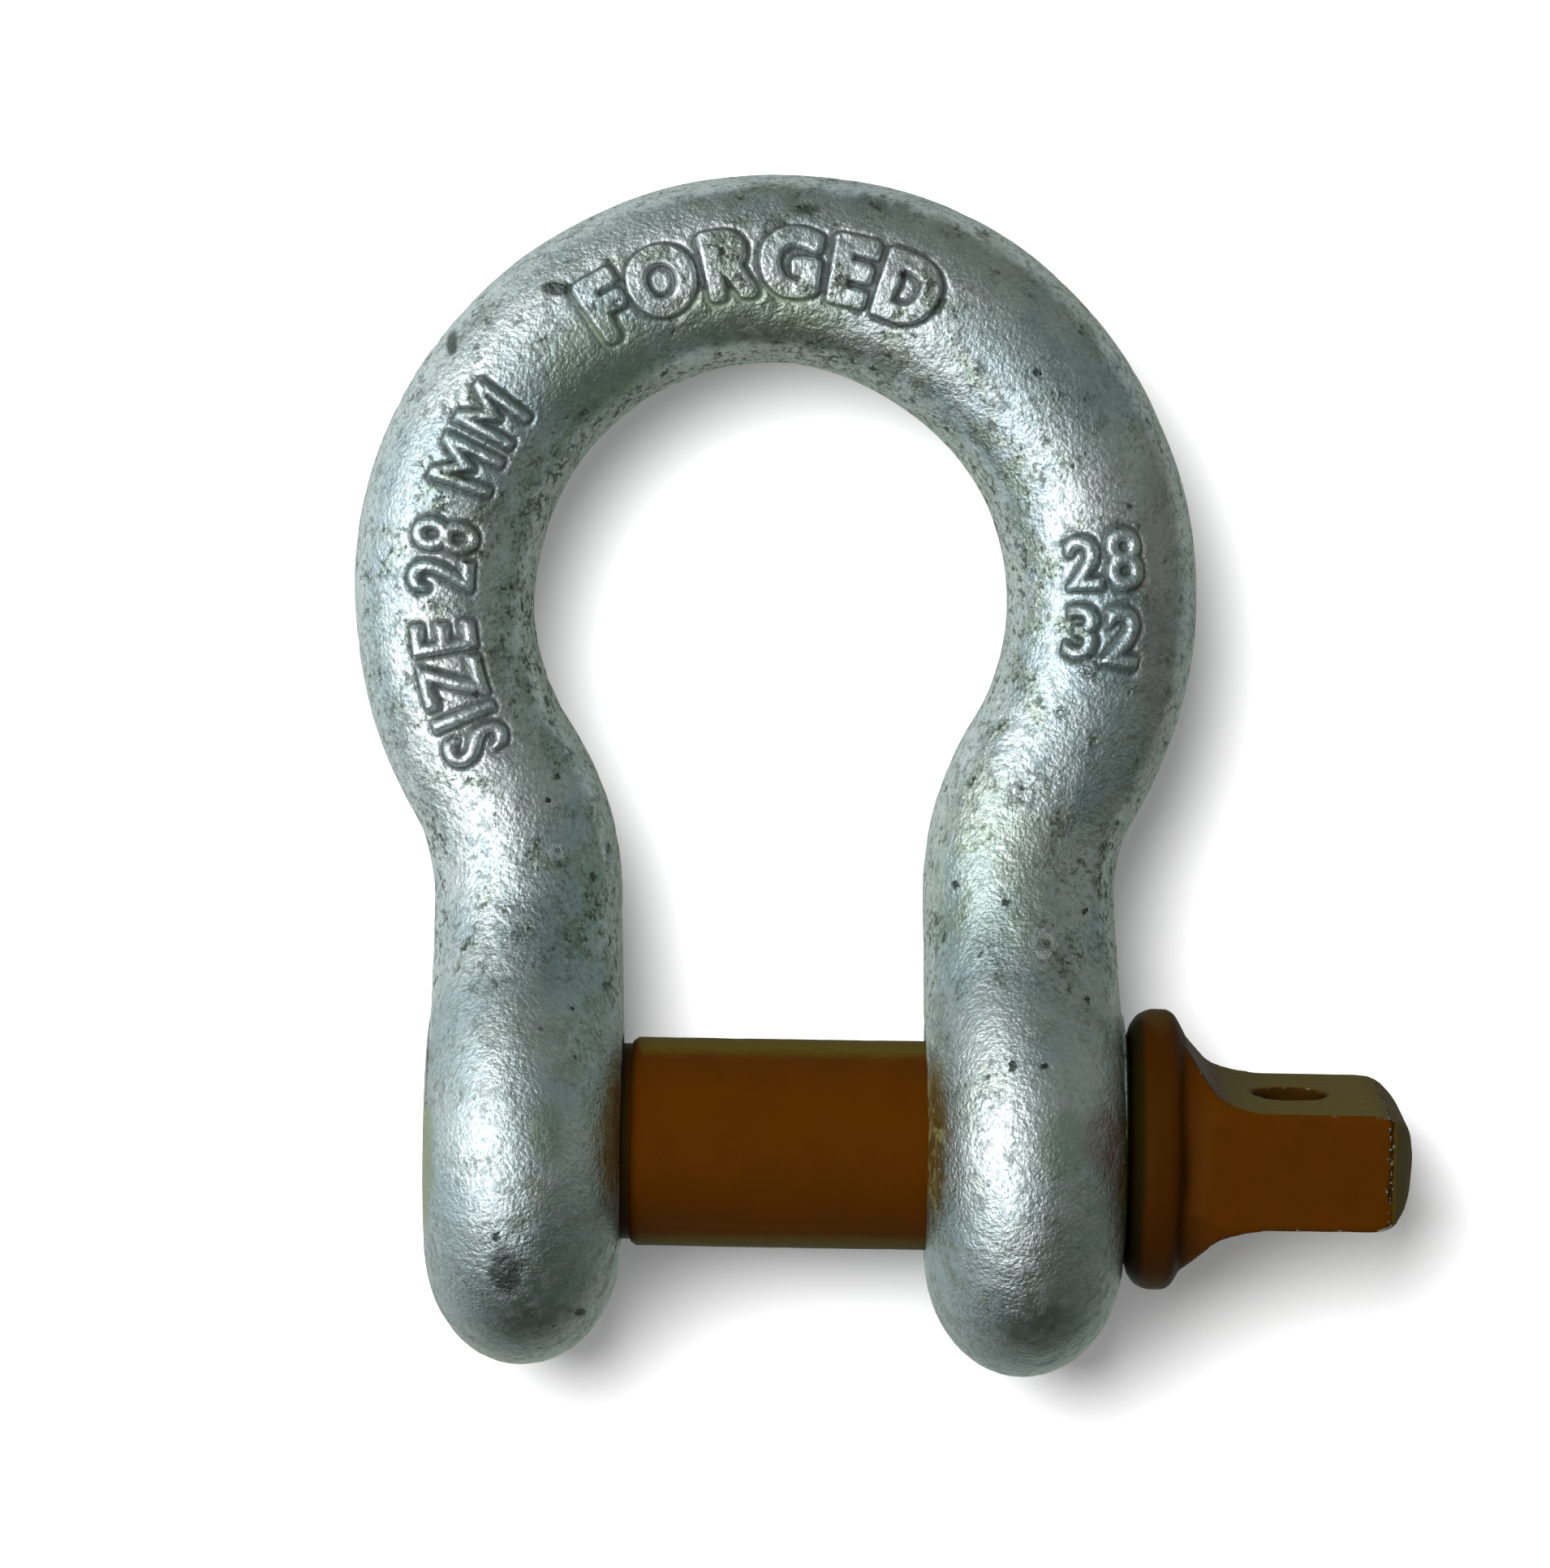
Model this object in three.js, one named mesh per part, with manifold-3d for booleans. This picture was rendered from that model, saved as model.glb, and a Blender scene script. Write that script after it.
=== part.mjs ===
// Screw pin bow shackle, 1-1/8 in class: a 28 mm bow and a 32 mm pin, both drop forged.
// Millimetres. The origin lies on the pin's axis, midway between the ears. +X runs along the pin to its
// collar and tang, and +Z runs to the crown of the bow.
import * as THREE from "three";
import { ParametricGeometry } from "three/addons/geometries/ParametricGeometry.js";
import { mergeVertices } from "three/addons/utils/BufferGeometryUtils.js";
import Module from "manifold-3d";

const wasm = await Module();
wasm.setup();

const DEG = Math.PI / 180;
const MERGE = 1e-3;

// The bow's centreline: two legs, two reverse bends at the neck, one large arc over the crown.
const legX = 37.5; // half the distance between the legs' centrelines
const crownRadius = 50.4;
const crownCentreZ = 83.8;
const neckRadius = 37.3;
const bowLean = 0.9; // degrees, the bow stands this far out of square with the pin, as forged
// Bar diameter along the centreline, from the tapped ear (0) to the plain ear (1).
const barDiameter = [
  [0.0, 28.9],
  [0.13, 28.8],
  [0.19, 27.5],
  [0.24, 27.4],
  [0.31, 28.6],
  [0.5, 28.9],
  [0.59, 30.6],
  [0.69, 29.4],
  [0.8, 29.1],
  [0.88, 29.4],
  [1.0, 29.7],
];

// The two ears. Each is a thick disc on the pin's axis with flats round its hole and a rounded rim.
const tappedEar = { x: -38.1, radius: 34.45, halfWidth: 14.85, hole: 15.3, chamfer: 1.1 };
const plainEar = { x: 38.57, radius: 35.2, halfWidth: 15.1, hole: 17.0, chamfer: 0.6 };
const earFlat = 17.0; // radius where the rim starts to round off
const spotFaceRadius = 20.0; // machined ring round each hole
const earFillet = 40.0; // fillet from the rim up to the leg, seen from the side
const flatRunOut = 36.0; // height above the pin where the flats have died out
const widthRunOut = 40.0; // height above the pin where the ear has become the leg

// Pin.
const shankRadius = 16.0;
const threadRadius = 15.0;
const threadRoot = 13.2;
const threadPitch = 3.5;
const pinEndX = -52.5;
const shoulderX = -21.75; // the shank ends here, just short of the tapped ear
const threadEndX = -24.5; // full thread runs from the pin's end to here
const endChamfer = 1.6;
const shoulderChamfer = 1.0;
const collarRadius = 21.6;
const collarX = 54.0; // the collar's inner face, just clear of the plain ear
const collarBackX = 63.4;
const collarBackRadius = 18.2;

// Flat tang that a bar or spanner turns. It stands turned about the pin's axis.
const tangTurn = 7.5; // degrees
const tangEndX = 97.8;
const tangHalfWidth = 19.0;
const tangHalfThickness = 9.0;
const tangCornerRadius = 21.1; // over the four long corners
const tangCornerX = 93.7; // the edges end here and the rounded end begins
const tangStartX = 57.0; // hidden inside the collar
const tangHoleRadius = 5.6;
const tangHoleX = 79.0;

// Mesh fineness.
const turnSteps = 8;
const barSteps = 66;
const sectionSteps = 8; // per quarter
const roundSteps = 44;
const threadStepsPerTurn = 24;
const threadStepsPerPitch = 7;

// ---- solids ----------------------------------------------------------------------------------------

// A closed three.js geometry as a manifold solid. Triangles folded to a line are left out.
function solid(geometry) {
  const bare = geometry.index ? geometry.toNonIndexed() : geometry.clone();
  bare.deleteAttribute("normal");
  bare.deleteAttribute("uv");
  const merged = mergeVertices(bare, MERGE);
  const index = merged.index.array;
  const kept = [];
  for (let i = 0; i < index.length; i += 3) {
    const [a, b, c] = [index[i], index[i + 1], index[i + 2]];
    if (a !== b && b !== c && c !== a) kept.push(a, b, c);
  }
  const shape = new wasm.Mesh({
    numProp: 3,
    vertProperties: merged.attributes.position.array,
    triVerts: new Uint32Array(kept),
  });
  return new wasm.Manifold(shape);
}

// A manifold solid as a named three.js mesh.
function meshOf(name, body, material) {
  const made = body.getMesh();
  const geometry = new THREE.BufferGeometry();
  geometry.setAttribute("position", new THREE.BufferAttribute(made.vertProperties, 3));
  geometry.setIndex(new THREE.BufferAttribute(made.triVerts, 1));
  geometry.computeVertexNormals();
  const mesh = new THREE.Mesh(geometry, material);
  mesh.name = name;
  return mesh;
}

// A body turned about the X axis, from points [x, radius] that run from -X to +X.
function turned(points, segments = roundSteps) {
  const profile = points.map(([x, radius]) => new THREE.Vector2(radius, x));
  const geometry = new THREE.LatheGeometry(profile, segments);
  geometry.rotateZ(-Math.PI / 2);
  return solid(geometry);
}

const mix = (a, b, t) => a + (b - a) * t;
const easing = (t) => 0.5 - 0.5 * Math.cos(Math.PI * THREE.MathUtils.clamp(t, 0, 1));

// ---- bow -------------------------------------------------------------------------------------------

// The reverse bend touches the leg and the crown arc, which sets its height and its angle.
const neckCentreX = legX + neckRadius;
const neckCentreZ = crownCentreZ - Math.sqrt((crownRadius + neckRadius) ** 2 - neckCentreX ** 2);
const neckAngle = Math.atan2(crownCentreZ - neckCentreZ, neckCentreX);

const centreline = new THREE.Path();
centreline.moveTo(tappedEar.x, 0);
centreline.lineTo(-legX, neckCentreZ);
centreline.absarc(-neckCentreX, neckCentreZ, neckRadius, 0, neckAngle, false);
centreline.absarc(0, crownCentreZ, crownRadius, Math.PI + neckAngle, -neckAngle, true);
centreline.absarc(neckCentreX, neckCentreZ, neckRadius, Math.PI - neckAngle, Math.PI, false);
centreline.lineTo(plainEar.x, 0);
centreline.arcLengthDivisions = 1200;
const barLength = centreline.getLength();

// Bar radius at a fraction of the centreline.
function barRadius(u) {
  let k = 1;
  while (k < barDiameter.length - 1 && u > barDiameter[k][0]) k += 1;
  const [u0, d0] = barDiameter[k - 1];
  const [u1, d1] = barDiameter[k];
  return mix(d0, d1, easing((u - u0) / (u1 - u0))) / 2;
}

// Half depth (along Y) of an ear and its fillet at a height above the pin.
function halfDepth(ear, height, legRadius) {
  const filletY = legRadius + earFillet;
  const filletZ = Math.sqrt((ear.radius + earFillet) ** 2 - filletY ** 2);
  const touchZ = (filletZ * ear.radius) / (ear.radius + earFillet);
  if (height <= touchZ) return Math.sqrt(ear.radius ** 2 - height ** 2);
  if (height >= filletZ) return legRadius;
  return filletY - Math.sqrt(earFillet ** 2 - (filletZ - height) ** 2);
}

// One point of a section: v runs once round, from the front (-Y) by the +X side to the back.
// Each quarter is part of an ellipse with a straight piece on the side.
function sectionPoint(v, halfX, halfY, flat) {
  const quarter = Math.floor(v * 4) % 4;
  const along = v * 4 - Math.floor(v * 4);
  const fromFrontOrBack = quarter % 2 === 0;
  const t = fromFrontOrBack ? along : 1 - along;
  const depth = halfY - flat;
  const arc = (Math.PI / 2) * Math.sqrt((halfX ** 2 + depth ** 2) / 2);
  const run = t * (arc + flat);
  const onArc = Math.min(run / arc, 1) * (Math.PI / 2);
  const x = halfX * Math.sin(onArc);
  const y = run < arc ? flat + depth * Math.cos(onArc) : flat - (run - arc);
  const side = quarter < 2 ? 1 : -1;
  const front = quarter === 0 || quarter === 3 ? -1 : 1;
  return [side * x, front * y];
}

// The whole bow as one closed skin. Below the pin each ear's section turns down about the pin's axis
// until its front and back halves meet. The section's x axis always points into the bow.
function bowSkin(u, v, target) {
  const steps = 2 * turnSteps + barSteps;
  const k = u * steps;
  const onTapped = k < steps / 2;
  const ear = onTapped ? tappedEar : plainEar;
  const inward = onTapped ? 1 : -1;
  const fromEnd = onTapped ? k : steps - k;
  if (fromEnd <= turnSteps) {
    const [x, y] = sectionPoint(v, ear.halfWidth, ear.radius, earFlat);
    const down = (1 - fromEnd / turnSteps) * (Math.PI / 2);
    target.set(ear.x + inward * x, y * Math.cos(down), -Math.abs(y) * Math.sin(down));
    return;
  }
  const along = THREE.MathUtils.clamp((k - turnSteps) / barSteps, 0, 1);
  const height = Math.min(along, 1 - along) * barLength;
  const radius = barRadius(along);
  const halfX = mix(ear.halfWidth, radius, easing(height / widthRunOut));
  const halfY = halfDepth(ear, height, radius);
  const flat = mix(earFlat, 0, easing(height / flatRunOut));
  const [x, y] = sectionPoint(v, halfX, halfY, flat);
  const centre = centreline.getPointAt(along);
  const tangent = centreline.getTangentAt(along);
  const px = centre.x + x * tangent.y;
  const pz = centre.y - x * tangent.x;
  const lean = bowLean * DEG * easing(height / widthRunOut);
  target.set(
    px * Math.cos(lean) - pz * Math.sin(lean),
    y,
    px * Math.sin(lean) + pz * Math.cos(lean),
  );
}

function bow() {
  const steps = 2 * turnSteps + barSteps;
  // ParametricGeometry faces its skin by the order of u and v, so v runs backwards here.
  const skin = (u, v, target) => bowSkin(u, 1 - v, target);
  let body = solid(new ParametricGeometry(skin, steps, 4 * sectionSteps));
  for (const ear of [tappedEar, plainEar]) {
    const inner = ear.x - ear.halfWidth;
    const outer = ear.x + ear.halfWidth;
    const spotFace = turned([
      [inner, 0],
      [inner, spotFaceRadius],
      [outer, spotFaceRadius],
      [outer, 0],
    ]);
    const past = 1; // the cutter runs this far beyond each face
    const hole = turned([
      [inner - past, 0],
      [inner - past, ear.hole + ear.chamfer + past],
      [inner + ear.chamfer, ear.hole],
      [outer - ear.chamfer, ear.hole],
      [outer + past, ear.hole + ear.chamfer + past],
      [outer + past, 0],
    ]);
    body = body.add(spotFace).subtract(hole);
  }
  return body;
}

// ---- screw pin -------------------------------------------------------------------------------------

// Shank, plain neck and collar in one turned body, which runs on into the tang.
function turnedPin() {
  return turned([
    [threadEndX, 0],
    [threadEndX, threadRadius - 0.5],
    [threadEndX + 0.5, threadRadius],
    [shoulderX, threadRadius],
    [shoulderX + shoulderChamfer, shankRadius],
    [collarX, shankRadius],
    [collarX, 18.4],
    [collarX + 1.1, 20.2],
    [collarX + 2.6, 21.2],
    [collarX + 4.4, collarRadius],
    [collarX + 6.2, 21.3],
    [collarX + 7.8, 20.2],
    [collarBackX - 0.5, 18.9],
    [collarBackX, collarBackRadius],
    [collarBackX, 0],
  ]);
}

// The screw thread: a right-hand helix with flattened crests, chamfered at the pin's end. It runs on
// a little way inside the plain neck.
function thread() {
  const to = threadEndX + 1;
  const flatCrest = threadRadius - 0.2;
  const steps = Math.round(((to - pinEndX) / threadPitch) * threadStepsPerPitch);
  const skin = (u, v, target) => {
    const k = THREE.MathUtils.clamp(u * (steps + 2) - 1, 0, steps);
    const onEnd = u * (steps + 2) < 0.5 || u * (steps + 2) > steps + 1.5;
    const x = mix(pinEndX, to, k / steps);
    const wave = 0.5 + 0.5 * Math.cos(2 * Math.PI * (x / threadPitch + v));
    const chamfered = flatCrest - Math.max(0, endChamfer - (x - pinEndX));
    const radius = Math.min(mix(threadRoot, threadRadius, wave), chamfered);
    const angle = -v * 2 * Math.PI;
    target.set(x, onEnd ? 0 : radius * Math.cos(angle), onEnd ? 0 : radius * Math.sin(angle));
  };
  return solid(new ParametricGeometry(skin, steps + 2, threadStepsPerTurn));
}

// The tang: its thickness as seen along the width, and its outline as seen on the flat, crossed.
function tang() {
  const t = tangHalfThickness;
  const round = 4.2; // rounding of the end across the thickness
  const side = new THREE.Shape();
  side.moveTo(tangStartX, -17.4);
  side.lineTo(collarBackX, -15.6);
  side.lineTo(67.0, -11.3);
  side.quadraticCurveTo(69.4, -9.3, 75.0, -t);
  side.lineTo(tangEndX - round, -t);
  side.quadraticCurveTo(tangEndX, -t + 0.4, tangEndX, -t + round);
  side.lineTo(tangEndX, t - round);
  side.quadraticCurveTo(tangEndX, t - 0.4, tangEndX - round, t);
  side.lineTo(75.0, t);
  side.quadraticCurveTo(69.4, 9.3, 67.0, 11.3);
  side.lineTo(collarBackX, 15.6);
  side.lineTo(tangStartX, 17.4);
  side.closePath();

  const w = tangHalfWidth;
  const flat = new THREE.Shape();
  flat.moveTo(tangStartX, -17.0);
  flat.lineTo(collarBackX, -w + 1.0);
  flat.lineTo(collarBackX + 2.4, -w);
  flat.lineTo(tangCornerX - 1.0, -w);
  flat.quadraticCurveTo(tangCornerX + 0.4, -w, tangCornerX + 0.9, -w + 2.0);
  flat.quadraticCurveTo(tangEndX + 0.35, -8.0, tangEndX, 0);
  flat.quadraticCurveTo(tangEndX + 0.35, 8.0, tangCornerX + 0.9, w - 2.0);
  flat.quadraticCurveTo(tangCornerX + 0.4, w, tangCornerX - 1.0, w);
  flat.lineTo(collarBackX + 2.4, w);
  flat.lineTo(collarBackX, w - 1.0);
  flat.lineTo(tangStartX, 17.0);
  flat.closePath();
  const eye = new THREE.Path();
  eye.absarc(tangHoleX, 0, tangHoleRadius, 0, 2 * Math.PI, false);
  flat.holes.push(eye);

  const reach = collarRadius + 2; // both extrusions are cut off well outside the tang
  const options = { depth: 2 * reach, bevelEnabled: false, curveSegments: 6 };
  const across = new THREE.ExtrudeGeometry(side, options);
  across.rotateX(Math.PI / 2);
  across.translate(0, reach, 0);
  const through = new THREE.ExtrudeGeometry(flat, { ...options, curveSegments: 10 });
  through.translate(0, 0, -reach);
  // The flare's corners are turned off to the tang's own radius over its corners.
  const envelope = turned([
    [tangStartX, 0],
    [tangStartX, 18.0],
    [collarBackX, collarBackRadius + 0.3],
    [collarBackX + 2.4, tangCornerRadius],
    [tangEndX + 1, tangCornerRadius],
    [tangEndX + 1, 0],
  ]);
  const crossed = solid(across).intersect(solid(through)).intersect(envelope);
  return crossed.rotate([tangTurn, 0, 0]);
}

// ---- the shackle -----------------------------------------------------------------------------------

const galvanised = new THREE.MeshStandardMaterial({
  name: "galvanised_steel",
  color: 0x98a09e,
  roughness: 0.48,
  metalness: 0.9,
});
const brownPaint = new THREE.MeshStandardMaterial({
  name: "brown_paint",
  color: 0x4a2a0a,
  roughness: 0.45,
  metalness: 0.0,
});

const shackle = new THREE.Group();
shackle.add(meshOf("bow", bow(), galvanised));
shackle.add(meshOf("screw_pin", turnedPin().add(thread()).add(tang()), brownPaint));

export default shackle;
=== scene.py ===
import math

import bmesh
import bpy
import numpy as np
from mathutils import Matrix, Vector


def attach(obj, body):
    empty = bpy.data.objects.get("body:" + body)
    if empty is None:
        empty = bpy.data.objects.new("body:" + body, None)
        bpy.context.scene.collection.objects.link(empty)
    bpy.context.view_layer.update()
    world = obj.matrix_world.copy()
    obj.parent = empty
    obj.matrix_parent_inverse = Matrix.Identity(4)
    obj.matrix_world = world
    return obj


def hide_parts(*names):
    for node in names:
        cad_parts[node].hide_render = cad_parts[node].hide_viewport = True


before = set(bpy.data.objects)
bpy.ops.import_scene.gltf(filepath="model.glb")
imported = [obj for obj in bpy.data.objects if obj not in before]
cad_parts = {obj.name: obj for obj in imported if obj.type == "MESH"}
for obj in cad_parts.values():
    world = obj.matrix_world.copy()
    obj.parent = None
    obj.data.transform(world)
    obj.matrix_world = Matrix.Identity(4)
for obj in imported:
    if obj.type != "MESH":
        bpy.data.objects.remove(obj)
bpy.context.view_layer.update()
metre = 0.001  # sizes below are in millimetres, meshes are in metres
print("frame loaded:", ", ".join(sorted(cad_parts)))


# One output socket. Arithmetic on it adds Math nodes to its tree.
class Wire:
    def __init__(self, graph, socket):
        self.graph = graph
        self.socket = socket

    def other(self, name):
        return Wire(self.graph, self.socket.node.outputs[name])

    def __add__(self, value):
        return self.graph.math("ADD", self, value)

    def __sub__(self, value):
        return self.graph.math("SUBTRACT", self, value)

    def __mul__(self, value):
        return self.graph.math("MULTIPLY", self, value)

    def __truediv__(self, value):
        return self.graph.math("DIVIDE", self, value)

    def __pow__(self, value):
        return self.graph.math("POWER", self, value)

    def __rsub__(self, value):
        return self.graph.math("SUBTRACT", value, self)

    def __rtruediv__(self, value):
        return self.graph.math("DIVIDE", value, self)

    __radd__ = __add__
    __rmul__ = __mul__


# A node tree that is written as expressions, for shaders and Geometry Nodes alike.
class Graph:
    def __init__(self, tree):
        self.tree = tree

    def add(self, kind, settings=None, sockets=None, out=0):
        node = self.tree.nodes.new(kind)
        for name, value in (settings or {}).items():
            if name == "stops":
                ramp = node.color_ramp
                while len(ramp.elements) < len(value):
                    ramp.elements.new(0.5)
                for element, (position, shade) in zip(ramp.elements, value):
                    element.position = position
                    element.color = (*shade, 1.0) if len(shade) == 3 else shade
            else:
                setattr(node, name, value)
        for name, value in (sockets or {}).items():
            if isinstance(value, Wire):
                self.tree.links.new(value.socket, node.inputs[name])
            else:
                node.inputs[name].default_value = value
        return Wire(self, node.outputs[out])

    def end(self, kind, sockets):
        # the tree's last node, which has no output
        node = self.tree.nodes.new(kind)
        for name, wire in sockets.items():
            self.tree.links.new(wire.socket, node.inputs[name])

    def math(self, operation, *values):
        return self.add("ShaderNodeMath", {"operation": operation}, dict(enumerate(values)))

    def clamp(self, value):
        return self.add("ShaderNodeMath", {"operation": "ADD", "use_clamp": True}, {0: value, 1: 0.0})

    def step(self, value, low, high):
        # 0 below low, 1 above high, smooth between; low may be the larger
        return self.add(
            "ShaderNodeMapRange",
            {"interpolation_type": "SMOOTHSTEP"},
            {"Value": value, "From Min": low, "From Max": high},
        )

    def blend(self, factor, first, second):
        # colours
        return self.add(
            "ShaderNodeMix",
            {"data_type": "RGBA", "clamp_factor": True},
            {0: factor, 6: first, 7: second},
            out=2,
        )

    def vector(self, operation, *values, out=0):
        return self.add("ShaderNodeVectorMath", {"operation": operation}, dict(enumerate(values)), out)

    def noise(self, place, size, detail=2.0, roughness=0.5, distortion=0.0):
        # size is how wide one blob is, in the units of place
        sockets = {
            "Vector": place,
            "Scale": 1.0 / size,
            "Detail": detail,
            "Roughness": roughness,
            "Distortion": distortion,
        }
        return self.add("ShaderNodeTexNoise", {"noise_dimensions": "3D"}, sockets)

    def cells(self, place, size, randomness=1.0):
        sockets = {"Vector": place, "Scale": 1.0 / size, "Randomness": randomness}
        return self.add("ShaderNodeTexVoronoi", {"feature": "F1"}, sockets, out="Distance")


def meshPiece(name, points, faces):
    mesh = bpy.data.meshes.new(name)
    mesh.from_pydata(np.asarray(points).tolist(), [], np.asarray(faces, dtype=object).tolist())
    piece = bpy.data.objects.new(name, mesh)
    bpy.context.scene.collection.objects.link(piece)
    return piece


def applyModifiers(piece):
    graph = bpy.context.evaluated_depsgraph_get()
    made = bpy.data.meshes.new_from_object(
        piece.evaluated_get(graph), preserve_all_data_layers=True, depsgraph=graph
    )
    piece.modifiers.clear()
    old = piece.data
    name = old.name
    piece.data = made
    bpy.data.meshes.remove(old)
    made.name = name


def combine(piece, other, operation):
    step = piece.modifiers.new("combine", "BOOLEAN")
    step.operation = operation
    step.solver = "MANIFOLD"
    step.object = other
    applyModifiers(piece)
    bpy.data.objects.remove(other)


def runNodes(piece, tree, values):
    step = piece.modifiers.new("nodes", "NODES")
    step.node_group = tree
    for item in tree.interface.items_tree:
        if item.in_out == "INPUT" and item.name in values:
            step[item.identifier] = values[item.name]
    applyModifiers(piece)


def closeTree(graph, geometry, material):
    real = graph.add("GeometryNodeRealizeInstances", None, {"Geometry": geometry})
    painted = graph.add("GeometryNodeSetMaterial", None, {"Geometry": real, "Material": material})
    smooth = graph.add("GeometryNodeSetShadeSmooth", None, {"Geometry": painted})
    graph.end("NodeGroupOutput", {0: smooth})


def turned(name, profile, segments=128):
    # a closed body turned about the X axis, from [x, radius] points that run from -X to +X
    points, faces = [], []
    angles = np.linspace(0, 2 * math.pi, segments, endpoint=False)
    rings = []
    for x, radius in profile:
        if radius == 0:
            rings.append([len(points)])
            points.append((x * metre, 0.0, 0.0))
        else:
            rings.append(list(range(len(points), len(points) + segments)))
            points += [
                (x * metre, -radius * math.sin(a) * metre, radius * math.cos(a) * metre) for a in angles
            ]
    for low, high in zip(rings[:-1], rings[1:]):
        for k in range(segments):
            n = (k + 1) % segments
            if len(low) == 1:
                faces.append((low[0], high[n], high[k]))
            elif len(high) == 1:
                faces.append((low[k], low[n], high[0]))
            else:
                faces.append((low[k], low[n], high[n], high[k]))
    piece = meshPiece(name, points, faces)
    outward(piece)
    return piece


def outward(piece, merge=0.0):
    body = bmesh.new()
    body.from_mesh(piece.data)
    if merge:
        bmesh.ops.remove_doubles(body, verts=body.verts, dist=merge)
    bmesh.ops.recalc_face_normals(body, faces=body.faces)
    if body.calc_volume(signed=True) < 0:
        bmesh.ops.reverse_faces(body, faces=body.faces)
    body.to_mesh(piece.data)
    body.free()


def prism(name, outlines, axis, reach):
    # closed outlines of (x, across) points, run through the body along Y or Z; the first is the
    # outer one and the others are holes
    body = bmesh.new()
    for outline in outlines:
        ring = []
        for x, across in outline:
            if axis == "Y":
                ring.append(body.verts.new((x * metre, -reach * metre, across * metre)))
            else:
                ring.append(body.verts.new((x * metre, across * metre, -reach * metre)))
        for k in range(len(ring)):
            body.edges.new((ring[k], ring[(k + 1) % len(ring)]))
    flat = bmesh.ops.triangle_fill(body, edges=body.edges[:], use_beauty=True)
    sheet = [item for item in flat["geom"] if isinstance(item, bmesh.types.BMFace)]
    grown = bmesh.ops.extrude_face_region(body, geom=sheet, use_keep_orig=True)
    moved = [item for item in grown["geom"] if isinstance(item, bmesh.types.BMVert)]
    shift = Vector((0, 2 * reach * metre, 0)) if axis == "Y" else Vector((0, 0, 2 * reach * metre))
    bmesh.ops.translate(body, verts=moved, vec=shift)
    mesh = bpy.data.meshes.new(name)
    body.to_mesh(mesh)
    body.free()
    piece = bpy.data.objects.new(name, mesh)
    bpy.context.scene.collection.objects.link(piece)
    outward(piece)
    return piece


def coordinates(mesh):
    points = np.empty(len(mesh.vertices) * 3)
    mesh.vertices.foreach_get("co", points)
    return points.reshape(-1, 3)


def storeField(mesh, name, values):
    field = mesh.attributes.get(name) or mesh.attributes.new(name, "FLOAT", "POINT")
    field.data.foreach_set("value", np.asarray(values, dtype=np.float32))


def storeRidges(mesh, rounds, depth):
    # how far each point stands out of its smoothed surroundings: above 0 on edges, below 0 in grooves
    points = coordinates(mesh)
    edges = np.empty(len(mesh.edges) * 2, dtype=np.int64)
    mesh.edges.foreach_get("vertices", edges)
    a, b = edges.reshape(-1, 2).T
    degree = np.bincount(edges, minlength=len(points)).clip(1)[:, None]
    smooth = points.copy()
    for _ in range(rounds):
        total = np.zeros_like(smooth)
        for axis in range(3):
            total[:, axis] = np.bincount(a, smooth[b, axis], len(points)) + np.bincount(
                b, smooth[a, axis], len(points)
            )
        smooth = 0.5 * smooth + 0.5 * total / degree
    normals = np.empty(len(points) * 3)
    mesh.vertex_normals.foreach_get("vector", normals)
    ridge = ((points - smooth) * normals.reshape(-1, 3)).sum(1) / (depth * metre)
    storeField(mesh, "ridge", np.clip(ridge, -1, 1))


def storeFacing(mesh):
    # how far each point faces up and out to the tang's end
    normals = np.empty(len(mesh.vertices) * 3)
    mesh.vertex_normals.foreach_get("vector", normals)
    storeField(mesh, "endward", normals[0::3])
    storeField(mesh, "upward", normals[2::3])


def softShading(piece, angle, keepSharp=None):
    # smooth faces, with sharp edges above an angle; keepSharp says where they may be
    mesh = piece.data
    mesh.polygons.foreach_set("use_smooth", [True] * len(mesh.polygons))
    mesh.set_sharp_from_angle(angle=math.radians(angle))
    if keepSharp is None or "sharp_edge" not in mesh.attributes:
        return
    points = coordinates(mesh)
    edges = np.empty(len(mesh.edges) * 2, dtype=np.int64)
    mesh.edges.foreach_get("vertices", edges)
    middle = points[edges.reshape(-1, 2)].mean(1) / metre
    sharp = np.empty(len(mesh.edges), dtype=bool)
    mesh.attributes["sharp_edge"].data.foreach_get("value", sharp)
    mesh.attributes["sharp_edge"].data.foreach_set("value", sharp & keepSharp(middle))


def newMaterial(name):
    material = bpy.data.materials.new(name)
    material.use_nodes = True
    material.node_tree.nodes.clear()
    return material, Graph(material.node_tree)


def finishMaterial(graph, constants, wires):
    sockets = dict(constants)
    sockets.update(wires)
    shader = graph.add("ShaderNodeBsdfPrincipled", None, sockets)
    graph.end("ShaderNodeOutputMaterial", {"Surface": shader})


def patch(graph, place, centre, reach, ragged):
    # 1 inside a ragged spot round centre, 0 outside; reach is its half size along x, y and z
    offset = graph.vector("SUBTRACT", place, centre)
    scaled = graph.vector("DIVIDE", offset, reach)
    distance = graph.vector("LENGTH", scaled, out="Value")
    return graph.step(distance + ragged, 1.1, 0.55)


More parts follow.
